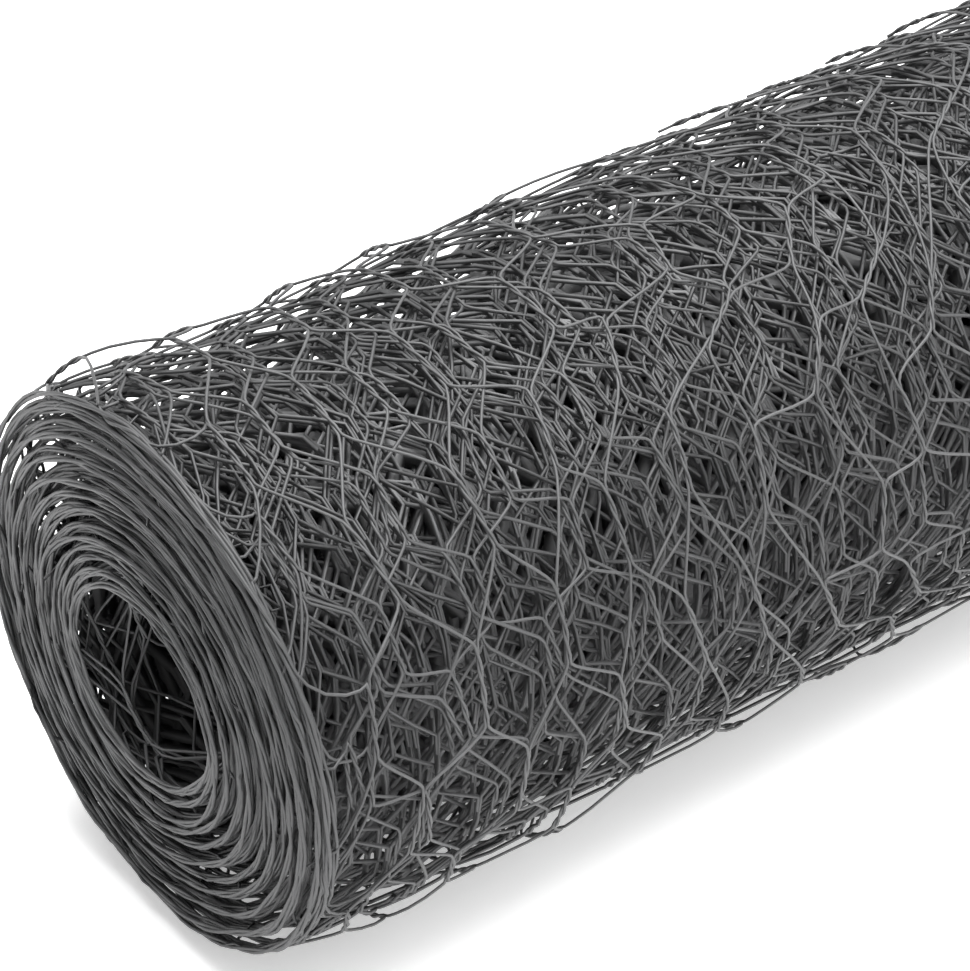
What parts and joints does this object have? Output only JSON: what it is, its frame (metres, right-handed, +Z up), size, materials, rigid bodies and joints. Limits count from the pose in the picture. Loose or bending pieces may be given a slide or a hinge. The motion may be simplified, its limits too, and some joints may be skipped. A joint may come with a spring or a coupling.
{
  "type": "roll of chicken wire",
  "caption": "Roll of grey hexagonal wire netting lying on its side, wound on itself with an open bore; fencing stock that is cut to length.",
  "frame": {"origin": "on the ground, under the middle of the roll", "axes": "+X along the roll's axis, from the pictured end to the far end; +Z up"},
  "size_m": [0.6056, 0.132, 0.132],
  "materials": {
    "coated_wire": "mid-grey coated steel wire, satin, slightly uneven along the twists"
  },
  "bodies": {
    "root": {"netting_roll": "coated_wire"}
  },
  "joints": []
}
